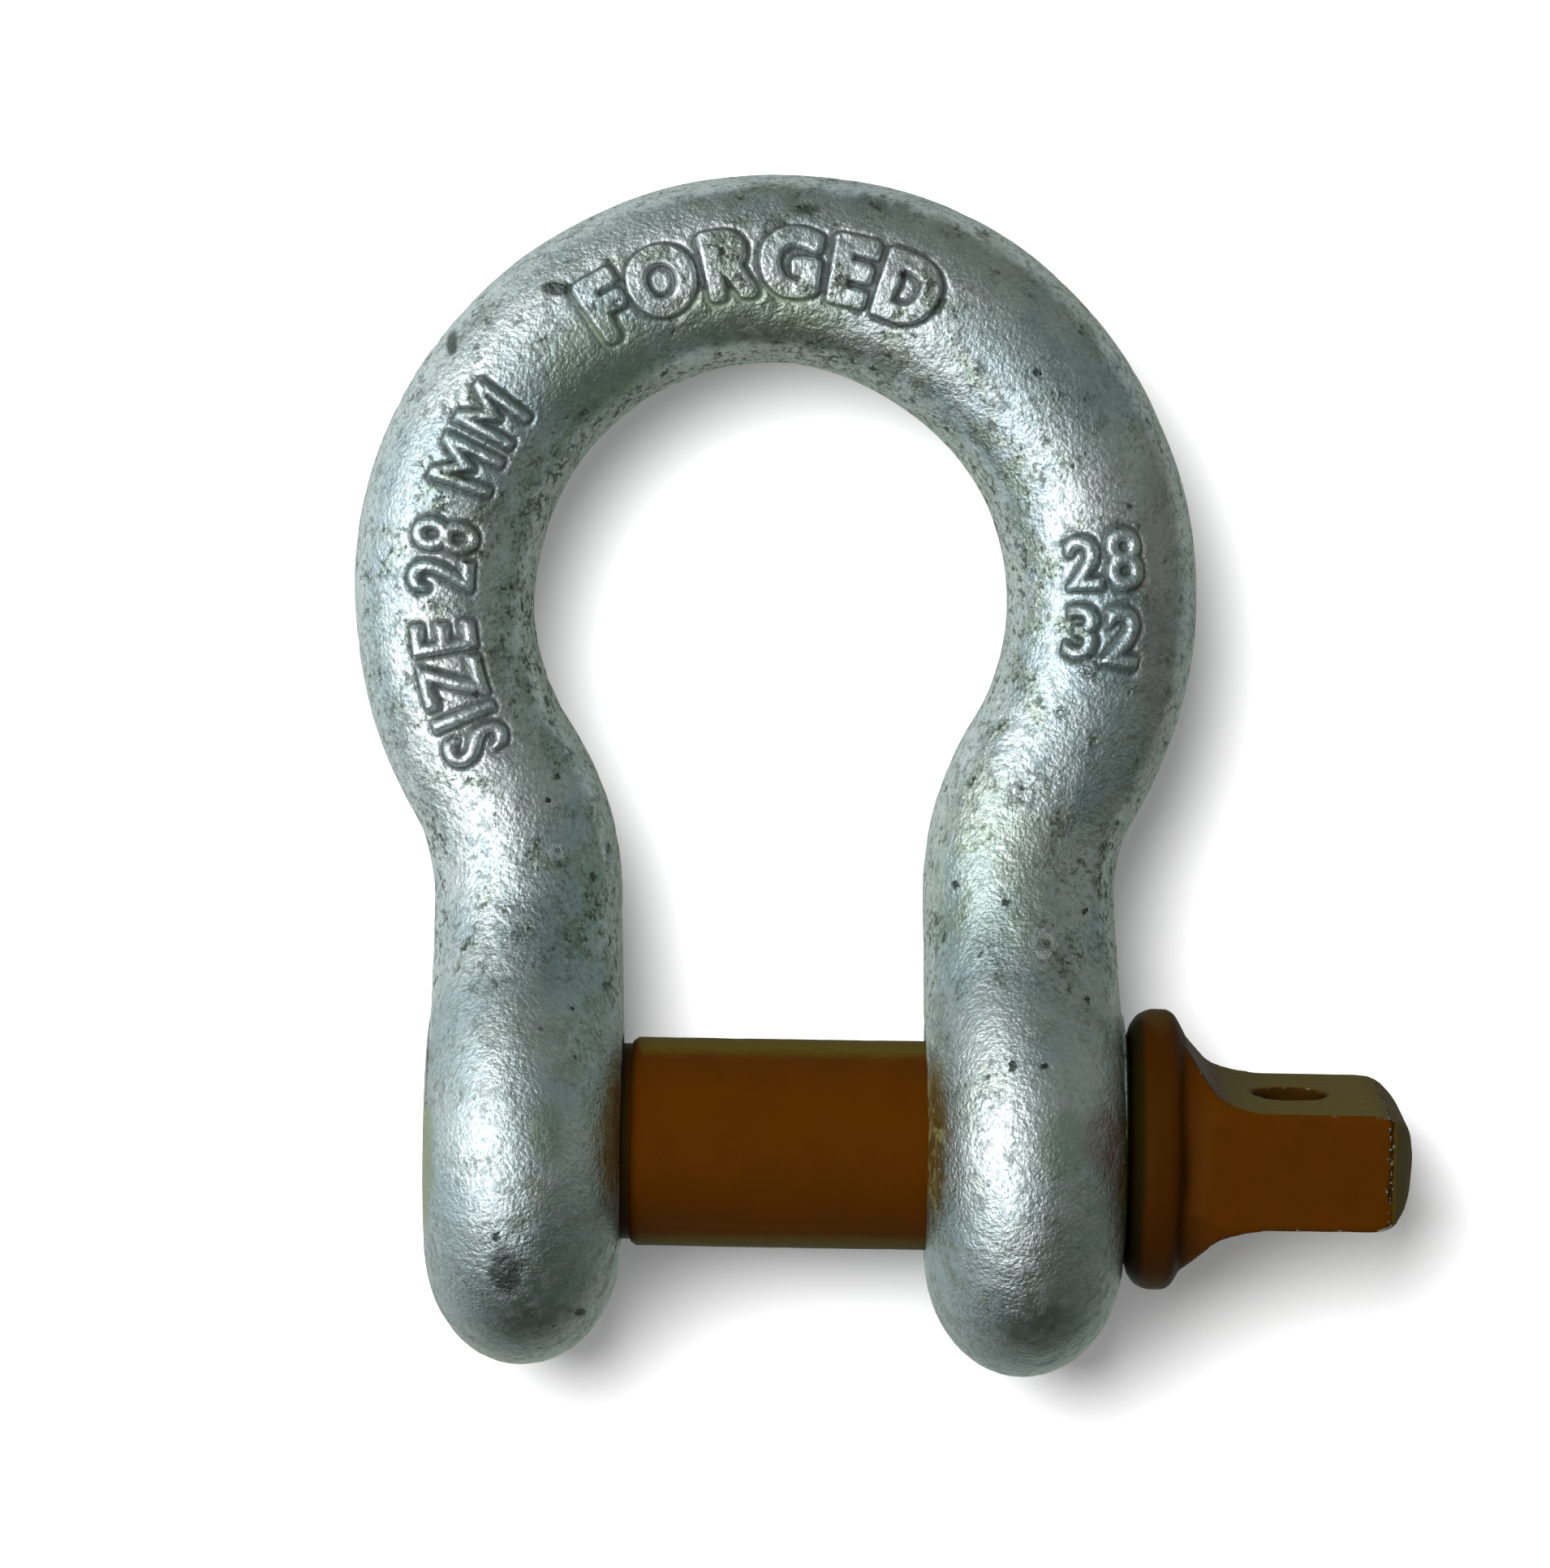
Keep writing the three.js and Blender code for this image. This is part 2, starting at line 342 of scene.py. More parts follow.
zincLook = {
    "bright": (0.56, 0.64, 0.65),
    "blueGrey": (0.40, 0.51, 0.55),
    "greenGrey": (0.30, 0.39, 0.28),
    "dark": (0.045, 0.06, 0.05),
    "crust": (0.40, 0.47, 0.43),
    "oliveStain": (0.34, 0.37, 0.17),
    "brownStain": (0.44, 0.42, 0.15),
    "sparkle": (0.74, 0.78, 0.78),
    "pinkStain": (0.30, 0.21, 0.21),
    # painted shade for the undersides of the ears
    "earUnderShade": (0.13, 0.17, 0.16),
    "roughness": 0.36,
    "grainSize": 0.62,
    "grainDepth": 0.23,
    "dimpleSize": 1.9,
    "dimpleDepth": 0.22,
    "pitSpacing": 3.4,
}


# Stains and flaws in the zinc: middle, half size, shade and strength.
zincStains = [
    # paint rubbed off the pin, and stains in the zinc
    ((-24.0, -28.0, 3.0), (1.9, 22.0, 12.0), "oliveStain", 0.75),
    ((-52.9, -26.0, -2.0), (2.3, 24.0, 12.0), "oliveStain", 0.65),
    ((24.0, -26.0, 1.0), (2.2, 24.0, 15.0), "brownStain", 0.9),
    ((53.8, -24.0, -3.0), (2.0, 24.0, 10.0), "brownStain", 0.85),
    ((49.0, -31.0, 2.7), (3.4, 9.0, 6.0), "pinkStain", 0.55),
    ((-34.0, -33.0, 3.0), (3.0, 9.0, 5.0), "greenGrey", 0.55),
    ((43.5, -35.0, 2.0), (4.5, 9.0, 6.0), "greenGrey", 0.6),
    ((-28.0, -12.0, 118.0), (10.0, 12.0, 10.0), "greenGrey", 0.55),
    ((-4.5, -12.0, 126.0), (15.0, 12.0, 5.0), "greenGrey", 0.7),
    ((57.0, -10.0, 84.0), (4.0, 12.0, 30.0), "pinkStain", 0.35),
    ((33.0, -12.0, 42.0), (12.0, 14.0, 16.0), "greenGrey", 0.35),
    # painted shade darkening the undersides of the ears, and a dull oval spot
    ((-36.0, -30.0, -27.5), (9.0, 16.0, 5.5), "earUnderShade", 0.55),
    ((41.0, -30.0, -27.0), (9.0, 16.0, 6.0), "earUnderShade", 0.55),
    ((-39.8, -30.0, -18.4), (3.0, 14.0, 4.2), "dark", 0.75),
    # ragged flaws where the metal folded in the dies
    ((2.4, -12.0, 142.5), (3.0, 12.0, 1.0), "dark", 0.6),
    ((-35.0, -12.0, 129.7), (3.0, 12.0, 1.4), "dark", 0.9),
    ((-50.8, -12.0, 121.7), (1.2, 12.0, 2.6), "dark", 0.9),
    ((-29.0, -30.0, -25.0), (3.2, 14.0, 1.6), "dark", 0.8),
    ((32.8, -30.0, -19.2), (2.8, 14.0, 0.8), "bright", 0.9),
]

# Single flaws in the zinc on the front: x, z and radius of small pits, and of pits with a raised ring.
zincPits = [
    (27.2, 40.1, 0.6), (34.6, 37.8, 0.45), (46.9, 23.6, 0.7), (46.5, 36.5, 0.6), (40.2, 13.6, 0.5),
    (35.5, 13.8, 0.8), (-28.7, -25.2, 1.0), (-41.1, -12.9, 0.7), (-30.5, 21.0, 0.6), (-35.0, 52.0, 0.6),
    (52.5, 98.0, 0.7), (-46.0, 68.0, 0.6), (38.0, 118.0, 0.6), (17.5, 132.5, 0.7),
]
zincRings = [(40.4, 31.7, 1.25), (46.5, 73.0, 0.9), (42.6, 66.5, 0.7), (-33.5, 44.5, 0.7)]


def zincMaterial(look):
    material, g = newMaterial("hot dip zinc")
    place = g.add("ShaderNodeTexCoord", out="Object")
    mm = g.add("ShaderNodeMapping", None, {"Vector": place, "Scale": (1000.0, 1000.0, 1000.0)})
    ridge = g.add("ShaderNodeAttribute", {"attribute_name": "ridge"}, out="Fac")
    around = g.add("ShaderNodeAttribute", {"attribute_name": "around"}, out="Fac")

    broad = g.noise(mm, 24.0, 3.0, 0.55)
    cloud = g.noise(mm, 6.5, 6.0, 0.62, 0.5)
    mottle = g.noise(mm, 1.9, 6.0, 0.72)
    fine = g.noise(mm, 0.75, 4.0, 0.65)
    ragged = (cloud - 0.5) * 1.6 + (mottle - 0.5) * 0.9
    # the rims run along the trimmed flash line, a quarter of the way round from the front
    fromRim = 0.25 - g.math("ABSOLUTE", around)
    rim = g.step(fromRim + ragged * 0.045, 0.115, 0.07)
    inside = g.step(around, 0.03, 0.14)

    colour = g.blend(g.step(broad, 0.42, 0.60), (*look["blueGrey"], 1), (*look["bright"], 1))
    colour = g.blend(g.step(cloud + inside * 0.10, 0.53, 0.66) * 0.6, colour, (*look["greenGrey"], 1))
    colour = g.blend(rim * 0.65, colour, (*look["crust"], 1))

    # the zinc's own grain, light and dark
    speckle = g.noise(mm, 0.95, 5.0, 0.75)
    tone = g.step(speckle + (cloud - 0.5) * 0.35, 0.46, 0.64)
    colour = g.blend(tone * 0.42, colour, (*look["dark"], 1))
    colour = g.blend(g.step(speckle, 0.44, 0.33) * 0.5, colour, (*look["sparkle"], 1))

    # grime: dark specks in clusters, thick on the rims and the inner side; every hollow is also darker,
    # less metallic and rougher
    cluster = g.step(cloud + rim * 0.11 + inside * 0.045, 0.48, 0.62)
    specks = g.step(mottle + fine * 0.35, 0.685, 0.77) * (0.35 + cluster * 0.65)
    fineSpecks = g.step(fine, 0.56, 0.63) * (0.15 + cluster * 0.85)
    colour = g.blend(specks * 0.92, colour, (*look["dark"], 1))
    colour = g.blend(fineSpecks * 0.7, colour, (*look["dark"], 1))
    hollows = g.step(ridge + (fine - 0.5) * 0.3, -0.04, -0.42)
    colour = g.blend(hollows * 0.85, colour, (*look["dark"], 1))
    edges = g.step(ridge, 0.12, 0.5)
    colour = g.blend(edges * 0.35, colour, (*look["bright"], 1))

    for centre, reach, shade, strength in zincStains:
        mask = patch(g, mm, centre, reach, ragged * 0.8)
        colour = g.blend(mask * strength, colour, (*look[shade], 1))

    y = g.add("ShaderNodeSeparateXYZ", None, {"Vector": mm}, out="Y")
    front = g.step(y, -3.0, -7.0)
    flat = g.vector("MULTIPLY", mm, (1.0, 0.0, 1.0))
    relief = 0.0
    for x, z, radius in zincPits + zincRings:
        centre = g.vector("SUBTRACT", flat, (x, 0.0, z))
        distance = g.vector("LENGTH", centre, out="Value") + (mottle - 0.5) * 1.1 + (speckle - 0.5) * 2.4
        floor = g.step(distance, radius, radius * 0.5) * front
        relief = relief - floor * 0.25
        if (x, z, radius) in zincRings:
            wall = g.step(g.math("ABSOLUTE", distance - radius * 1.15), radius * 0.4, radius * 0.1) * front
            relief = relief + wall * 0.22
            colour = g.blend(floor * 0.45, colour, (*look["dark"], 1))
            colour = g.blend(wall * 0.4, colour, (*look["bright"], 1))
        else:
            colour = g.blend(floor * 0.95, colour, (*look["dark"], 1))

    grain = g.noise(mm, look["grainSize"], 3.0, 0.55)
    dimples = g.noise(mm, look["dimpleSize"], 2.0, 0.5)
    pits = g.step(g.cells(mm, look["pitSpacing"]), 0.17, 0.05) * g.step(cloud, 0.52, 0.6)
    colour = g.blend(pits * 0.8, colour, (*look["dark"], 1))
    height = (
        grain * look["grainDepth"]
        + dimples * look["dimpleDepth"]
        - specks * 0.015
        - fineSpecks * 0.01
        - pits * 0.10
        + rim * fine * 0.10
        + relief
    )
    bump = g.add("ShaderNodeBump", None, {"Strength": 1.0, "Distance": 0.001, "Height": height})
    rough = look["roughness"] + (mottle - 0.5) * 0.22 + specks * 0.1 + rim * 0.10 + hollows * 0.2
    metal = 1.0 - g.clamp(specks * 0.1 + hollows * 0.2 + rim * 0.25)
    finishMaterial(
        g, {}, {"Base Color": colour, "Metallic": metal, "Roughness": g.clamp(rough), "Normal": bump}
    )
    return material


pinForm = {
    "shankRadius": 16.0,
    "threadRadius": 15.0,
    "threadRoot": 13.2,
    "threadPitch": 3.5,
    "endX": -52.5,
    "threadEndX": -24.5,
    "shoulderX": -21.75,
    "collarX": 54.0,
    "collarBackX": 63.4,
    "tangTurn": 7.5,
    "tangEndX": 97.8,
    "tangHalfWidth": 19.0,
    "tangHalfThickness": 9.0,
    "tangCornerX": 93.7,
    "tangHoleX": 79.0,
    "tangHoleRadius": 5.6,
    "voxel": 0.5,
    "collar": [
        (54.0, 0), (54.0, 17.6), (54.5, 19.2), (55.6, 20.7), (57.3, 21.5), (60.1, 21.5), (61.2, 20.7),
        (62.2, 18.9), (63.1, 17.2), (63.4, 16.4), (63.4, 0),
    ],
    "relief": {
        "Wave height": 0.07, "Wave size": 12.0, "Dent depth": 0.05, "Dent size": 4.0,
        "Flash width": 0.0, "Flash depth": 0.0, "Seed": 8.0,
    },
}


paintLook = {
    "front": (0.038, 0.0108, 0.0),
    "deep": (0.034, 0.0100, 0.0),
    # painted shade: a darker copy of the pin's brown for the collar
    "collar": (0.022, 0.0065, 0.0),
    # painted reflection: the olive sheen on faces turned up, down and out to the end
    "olive": (0.046, 0.035, 0.003),
    # painted shade, near black, for the gaps, the hole, the creases and the corner line
    "paintedShade": (0.006, 0.005, 0.001),
    "bare": (0.42, 0.44, 0.40),
    "roughness": 0.42,
    "chipLineX": 93.4,
}


def paintMaterial(look):
    material, g = newMaterial("brown enamel")
    place = g.add("ShaderNodeTexCoord", out="Object")
    mm = g.add("ShaderNodeMapping", None, {"Vector": place, "Scale": (1000.0, 1000.0, 1000.0)})
    x = g.add("ShaderNodeSeparateXYZ", None, {"Vector": mm})
    ridge = g.add("ShaderNodeAttribute", {"attribute_name": "ridge"}, out="Fac")
    upward = g.math("ABSOLUTE", g.add("ShaderNodeAttribute", {"attribute_name": "upward"}, out="Fac"))
    endward = g.add("ShaderNodeAttribute", {"attribute_name": "endward"}, out="Fac")

    cloud = g.noise(mm, 9.0, 5.0, 0.6)
    mottle = g.noise(mm, 1.6, 5.0, 0.65)
    fine = g.noise(mm, 0.4, 2.0, 0.5)
    worn = (cloud - 0.5) * 0.7 + (mottle - 0.5) * 0.9

    colour = g.blend(g.step(cloud, 0.35, 0.65), (*look["deep"], 1), (*look["front"], 1))
    # painted shade: the collar gets the darker copy of the pin's brown
    collar = g.step(x, 52.0, 54.5) * g.step(x, 66.5, 62.0)
    colour = g.blend(collar, colour, (*look["collar"], 1))
    # painted reflection: an olive sheen on what faces up, down and out to the end
    onHead = g.step(x, 40.0, 50.0)
    faceSheen = g.step(upward + worn * 0.06, 0.81, 0.94) * (1.0 - collar * 0.7)
    faceSheen = g.math("MAXIMUM", faceSheen, g.step(endward + worn * 0.2, 0.45, 0.75) * g.step(x, 88.0, 92.0))
    colour = g.blend(faceSheen * 0.9, colour, (*look["olive"], 1))
    # painted shade where the collar meets the ear, in the gap behind the thread and in the tang's hole
    earGapShade = g.step(x + worn * 0.5, 56.6, 55.6) * g.step(x, 52.0, 53.9)
    behind = g.step(g.math("ABSOLUTE", x + 22.6), 1.3, 0.6)
    onPlan = g.vector("SUBTRACT", mm, (pinForm["tangHoleX"], 0.0, 0.0))
    turnedPlan = g.add(
        "ShaderNodeVectorRotate",
        {"rotation_type": "X_AXIS"},
        {"Vector": onPlan, "Angle": -math.radians(pinForm["tangTurn"])},
    )
    flatPlan = g.vector("MULTIPLY", turnedPlan, (1.0, 1.0, 0.0))
    fromHole = g.vector("LENGTH", flatPlan, out="Value")
    inHole = g.step(fromHole + worn * 0.6, pinForm["tangHoleRadius"] + 0.5, pinForm["tangHoleRadius"])
    gapShade = g.math("MAXIMUM", g.math("MAXIMUM", earGapShade * 0.9, behind * 0.75), inHole * 0.7)
    # painted shade in the head's creases
    creases = g.step(ridge, -0.25, -0.7) * onHead
    colour = g.blend(g.math("MAXIMUM", gapShade, creases * 0.3), colour, (*look["paintedShade"], 1))
    # a broken line of painted shade along the tang's corner before its rounded end, and bare chips where
    # the tang's end was knocked
    line = g.step(g.math("ABSOLUTE", x + worn * 2.6 - look["chipLineX"]), 0.45, 0.15)
    line = line * g.step(cloud + mottle * 0.7, 0.80, 0.86)
    colour = g.blend(line * 0.9, colour, (*look["paintedShade"], 1))
    chips = g.step(ridge + worn * 0.7, 0.72, 0.84) * g.step(mottle, 0.55, 0.6) * onHead
    chips = g.math("MAXIMUM", chips, line * g.step(fine + cloud * 0.5, 0.88, 0.92))
    colour = g.blend(chips, colour, (*look["bare"], 1))
    height = mottle * 0.05 + fine * 0.01 - chips * 0.06 - line * 0.1
    bump = g.add("ShaderNodeBump", None, {"Strength": 0.6, "Distance": 0.001, "Height": height})
    rough = look["roughness"] + (mottle - 0.5) * 0.2 + faceSheen * 0.08
    finishMaterial(
        g,
        {"Specular IOR Level": 0.03},
        {
            "Base Color": colour,
            "Metallic": chips * 0.9,
            "Roughness": g.clamp(rough),
            "Normal": bump,
        },
    )
    return material


zinc = zincMaterial(zincLook)
paint = paintMaterial(paintLook)
print("finishes made")


def forgedSkinTree():
    # pushes a skin out along its normals: raised marks, slow waves, dents and the flash line
    inputs = {
        "Wave height": 0.12,
        "Wave size": 14.0,
        "Dent depth": 0.05,
        "Dent size": 2.6,
        "Flash width": 2.0,
        "Flash depth": 0.18,
        "Seed": 3.0,
        "Finish": zinc,
    }
    tree = bpy.data.node_groups.new("forged skin", "GeometryNodeTree")
    tree.is_modifier = True
    tree.interface.new_socket("Geometry", in_out="OUTPUT", socket_type="NodeSocketGeometry")
    tree.interface.new_socket("Geometry", in_out="INPUT", socket_type="NodeSocketGeometry")
    for label, value in inputs.items():
        kind = "NodeSocketMaterial" if label == "Finish" else "NodeSocketFloat"
        socket = tree.interface.new_socket(label, in_out="INPUT", socket_type=kind)
        if label != "Finish":
            socket.default_value = value
    g = Graph(tree)
    entry = g.add("NodeGroupInput")
    take = entry.other
    place = g.add("GeometryNodeInputPosition")
    mm = g.vector("MULTIPLY", place, (1000.0, 1000.0, 1000.0))
    axes = g.add("ShaderNodeSeparateXYZ", None, {"Vector": mm})
    y, z = axes.other("Y"), axes.other("Z")
    shift = g.add("ShaderNodeCombineXYZ", None, {"X": take("Seed") * 37.0, "Y": take("Seed") * 11.0})
    moved = g.vector("ADD", mm, shift)

    def field(size, detail):
        return g.add(
            "ShaderNodeTexNoise",
            {"noise_dimensions": "3D"},
            {"Vector": moved, "Scale": 1.0 / size, "Detail": detail, "Roughness": 0.5},
        )

    waves = (field(take("Wave size"), 1.0) - 0.5) * 2.0 * take("Wave height")
    dents = g.step(field(take("Dent size"), 2.0), 0.5, 0.72) * take("Dent depth")
    away = g.math("SQRT", y * y + z * z)
    width = take("Flash width")
    band = g.step(g.math("ABSOLUTE", y), width * 1.5, width) * g.step(away, 21.0, 24.0)
    ragged = field(take("Dent size") * 0.8, 3.0)
    flash = band * take("Flash depth") * (0.4 + ragged)
    raised = g.add(
        "GeometryNodeInputNamedAttribute", {"data_type": "FLOAT"}, {"Name": "raised"}, out="Attribute"
    )
    height = (waves - dents - flash + raised) * metre
    normal = g.add("GeometryNodeInputNormal")
    push = g.vector("SCALE", normal)
    g.tree.links.new(height.socket, push.socket.node.inputs["Scale"])
    pushed = g.add("GeometryNodeSetPosition", None, {"Geometry": take("Geometry"), "Offset": push})
    closeTree(g, pushed, take("Finish"))
    return tree


def threadTree():
    # a right-hand thread as one closed skin about the X axis
    tree = bpy.data.node_groups.new("thread", "GeometryNodeTree")
    tree.is_modifier = True
    tree.interface.new_socket("Geometry", in_out="OUTPUT", socket_type="NodeSocketGeometry")
    tree.interface.new_socket("Geometry", in_out="INPUT", socket_type="NodeSocketGeometry")
    floats = ("From", "To", "Pitch", "Root radius", "Crest radius", "Flat radius", "Chamfer")
    for label in floats:
        tree.interface.new_socket(label, in_out="INPUT", socket_type="NodeSocketFloat")
    for label in ("Steps along", "Steps round"):
        tree.interface.new_socket(label, in_out="INPUT", socket_type="NodeSocketInt")
    tree.interface.new_socket("Finish", in_out="INPUT", socket_type="NodeSocketMaterial")
    g = Graph(tree)
    entry = g.add("NodeGroupInput")
    take = entry.other
    grid = g.add(
        "GeometryNodeMeshGrid",
        None,
        {
            "Size X": 1.0,
            "Size Y": 1.0,
            "Vertices X": take("Steps along") + 3,
            "Vertices Y": take("Steps round") + 1,
        },
    )
    place = g.add("GeometryNodeInputPosition")
    axes = g.add("ShaderNodeSeparateXYZ", None, {"Vector": place})
    steps = take("Steps along")
    k = (axes + 0.5) * (steps + 2.0) - 1.0  # the first and last row close the ends
    v = axes.other("Y") + 0.5
    inner = g.math("MINIMUM", g.math("MAXIMUM", k, 0.0), steps)
    notEnd = g.math("GREATER_THAN", k, -0.5) * g.math("LESS_THAN", k, steps + 0.5)
    x = take("From") + (take("To") - take("From")) * inner / steps
    wave = 0.5 + 0.5 * g.math("COSINE", (x / take("Pitch") + v) * (2 * math.pi))
    radius = take("Root radius") + (take("Crest radius") - take("Root radius")) * wave
    radius = g.math("MINIMUM", radius, take("Flat radius"))
    chamfered = take("Flat radius") - g.math("MAXIMUM", 0.0, take("Chamfer") - (x - take("From")))
    radius = g.math("MINIMUM", radius, chamfered) * notEnd * metre
    angle = v * (-2 * math.pi)
    point = g.add(
        "ShaderNodeCombineXYZ",
        None,
        {"X": x * metre, "Y": radius * g.math("COSINE", angle), "Z": radius * g.math("SINE", angle)},
    )
    wound = g.add("GeometryNodeSetPosition", None, {"Geometry": grid, "Position": point})
    merged = g.add("GeometryNodeMergeByDistance", None, {"Geometry": wound, "Distance": 1e-6})
    closeTree(g, merged, take("Finish"))
    return tree


def threadPiece(name, tree, values):
    piece = meshPiece(name, [], [])
    runNodes(piece, tree, values)
    outward(piece)
    return piece


forgedSkin = forgedSkinTree()
thread = threadTree()


bowForm = {
    "legX": 37.5,  # half the distance between the legs' centrelines
    "crownRadius": 50.4,
    "crownZ": 83.8,
    "neckRadius": 37.3,
    "lean": 0.9,  # degrees
    "barDiameter": [
        (0.0, 28.9), (0.13, 28.8), (0.19, 27.5), (0.24, 27.4), (0.31, 28.6), (0.5, 28.9),
        (0.59, 30.6), (0.69, 29.4), (0.8, 29.1), (0.88, 29.4), (1.0, 29.7),
    ],
    "tappedEar": {"x": -38.1, "radius": 34.45, "halfWidth": 14.85, "hole": 15.3, "chamfer": 1.1},
    "plainEar": {"x": 38.57, "radius": 35.2, "halfWidth": 15.1, "hole": 17.0, "chamfer": 0.6},
    "earFlat": 17.0,
    "earFillet": 40.0,
    "flatRunOut": 36.0,
    "widthRunOut": 40.0,
    "spotFace": 20.0,
    "spotFaceProud": 0.03,
    "earTurn": 54.0,  # length given to each ear's lower half on the skin grid
    "alongStep": 1.06,
    "aroundSteps": 96,
    "markCuts": 3,  # how finely the skin is cut under the raised marks
    "markMargin": 2.2,
    "relief": {
        "Wave height": 0.16, "Wave size": 15.0, "Dent depth": 0.16, "Dent size": 3.0,
        "Flash width": 2.0, "Flash depth": 0.05, "Seed": 3.0,
    },
    "tap": {
        "Pitch": 3.5, "Root radius": 14.6, "Crest radius": 16.9, "Flat radius": 16.7, "Chamfer": 0.0,
        "Steps along": 84, "Steps round": 64,
    },
    "roundSegments": 160,
}

# Raised marks: text, middle of the text along the bar (0 to 1), letter height, stroke growth,
# length of the line, and whether it reads along the bar or stands upright across it.
marks = [
    {"text": "FORGED", "middle": 0.4945, "height": 9.2, "grow": 1.1, "length": 53.6,
     "along": True, "spacing": 1.26, "bevel": 0.75},
    {"text": "SIZE 28 MM", "middle": 0.2705, "height": 9.4, "grow": 0.5, "length": 57.0,
     "along": True, "spacing": 1.22, "bevel": 1.05},
    {"text": "28", "middle": 0.741, "height": 8.0, "grow": 0.6, "length": 10.8,
     "along": False, "rise": 5.6, "spacing": 1.12, "bevel": 1.05},
    {"text": "32", "middle": 0.741, "height": 8.0, "grow": 0.6, "length": 10.8,
     "along": False, "rise": -5.6, "spacing": 1.12, "bevel": 1.05},
]
markHeight = 1.15


def easing(t):
    return 0.5 - 0.5 * np.cos(np.pi * np.clip(t, 0, 1))


def mix(a, b, t):
    return a + (b - a) * t


def centreline(form):
    # arc length and (x, z) along the bow's centreline, from the tapped ear over the crown
    neckX = form["legX"] + form["neckRadius"]
    reach = form["crownRadius"] + form["neckRadius"]
    neckZ = form["crownZ"] - math.sqrt(reach ** 2 - neckX ** 2)
    turn = math.atan2(form["crownZ"] - neckZ, neckX)

    def arc(x, z, radius, start, end):
        angles = np.linspace(start, end, 2000)
        return np.stack([x + radius * np.cos(angles), z + radius * np.sin(angles)], 1)

    def leg(x0, z0, x1, z1):
        t = np.linspace(0, 1, 400)
        return np.stack([mix(x0, x1, t), mix(z0, z1, t)], 1)

    parts = [
        leg(form["tappedEar"]["x"], 0, -form["legX"], neckZ),
        arc(-neckX, neckZ, form["neckRadius"], 0, turn),
        arc(0, form["crownZ"], form["crownRadius"], math.pi + turn, -turn),
        arc(neckX, neckZ, form["neckRadius"], math.pi - turn, math.pi),
        leg(form["legX"], neckZ, form["plainEar"]["x"], 0),
    ]
    line = np.concatenate([parts[0]] + [part[1:] for part in parts[1:]])
    pace = np.hypot(*np.diff(line, axis=0).T)
    return np.concatenate([[0], np.cumsum(pace)]), line


lineLength, linePoints = centreline(bowForm)
barLength = lineLength[-1]
lineTangent = np.gradient(linePoints, lineLength, axis=0)
lineTangent /= np.hypot(*lineTangent.T)[:, None]


def barRadius(fraction):
    stations = np.array(bowForm["barDiameter"])
    k = np.clip(np.searchsorted(stations[:, 0], fraction, "right"), 1, len(stations) - 1)
    u0, d0 = stations[k - 1].T
    u1, d1 = stations[k].T
    return mix(d0, d1, easing((fraction - u0) / (u1 - u0))) / 2


def halfDepth(earRadius, height, legRadius):
    # half depth along Y of an ear and the fillet up to its leg
    fillet = bowForm["earFillet"]
    filletY = legRadius + fillet
    filletZ = np.sqrt((earRadius + fillet) ** 2 - filletY ** 2)
    touchZ = filletZ * earRadius / (earRadius + fillet)
    rounded = np.sqrt(np.clip(earRadius ** 2 - height ** 2, 0, None))
    hollow = filletY - np.sqrt(np.clip(fillet ** 2 - (filletZ - height) ** 2, 0, None))
    return np.where(height <= touchZ, rounded, np.where(height >= filletZ, legRadius, hollow))


def sectionPoint(v, halfX, halfY, flat):
    # v is 0 at the front, 0.25 on the side that faces into the bow, and 0.5 at the back
    w = np.mod(v, 1.0) * 4
    quarter = np.floor(w).astype(int) % 4
    along = w - np.floor(w)
    t = np.where(quarter % 2 == 0, along, 1 - along)
    depth = halfY - flat
    arc = (np.pi / 2) * np.sqrt((halfX ** 2 + depth ** 2) / 2)
    run = t * (arc + flat)
    onArc = np.minimum(run / arc, 1) * (np.pi / 2)
    x = halfX * np.sin(onArc)
    y = np.where(run < arc, flat + depth * np.cos(onArc), flat - (run - arc))
    side = np.where(quarter < 2, 1, -1)
    front = np.where((quarter == 0) | (quarter == 3), -1, 1)
    return side * x, front * y, arc + flat


def bowPoints(path, v):
    # path runs from -earTurn over 0 to barLength and on to barLength + earTurn
    form = bowForm
    tapped, plain = form["tappedEar"], form["plainEar"]
    onTapped = path < barLength / 2
    ear = {key: np.where(onTapped, tapped[key], plain[key]) for key in ("x", "radius", "halfWidth")}
    s = np.clip(path, 0, barLength)
    past = np.maximum(-path, path - barLength).clip(0)
    fraction = s / barLength
    height = np.minimum(fraction, 1 - fraction) * barLength
    radius = barRadius(fraction)
    halfX = mix(ear["halfWidth"], radius, easing(height / form["widthRunOut"]))
    halfY = halfDepth(ear["radius"], height, radius)
    flat = mix(form["earFlat"], 0, easing(height / form["flatRunOut"]))
    x, y, quarterLength = sectionPoint(v, halfX, halfY, flat)
    cx, cz = (np.interp(s, lineLength, linePoints[:, k]) for k in (0, 1))
    tx, tz = (np.interp(s, lineLength, lineTangent[:, k]) for k in (0, 1))
    px, pz = cx + x * tz, cz - x * tx
    lean = math.radians(form["lean"]) * easing(height / form["widthRunOut"])
    onBar = np.stack([px * np.cos(lean) - pz * np.sin(lean), y, px * np.sin(lean) + pz * np.cos(lean)], 1)
    down = past / form["earTurn"] * (np.pi / 2)
    inward = np.where(onTapped, 1, -1)
    onEar = np.stack([ear["x"] + inward * x, y * np.cos(down), -np.abs(y) * np.sin(down)], 1)
    return np.where((past > 0)[:, None], onEar, onBar), v * 4 * quarterLength


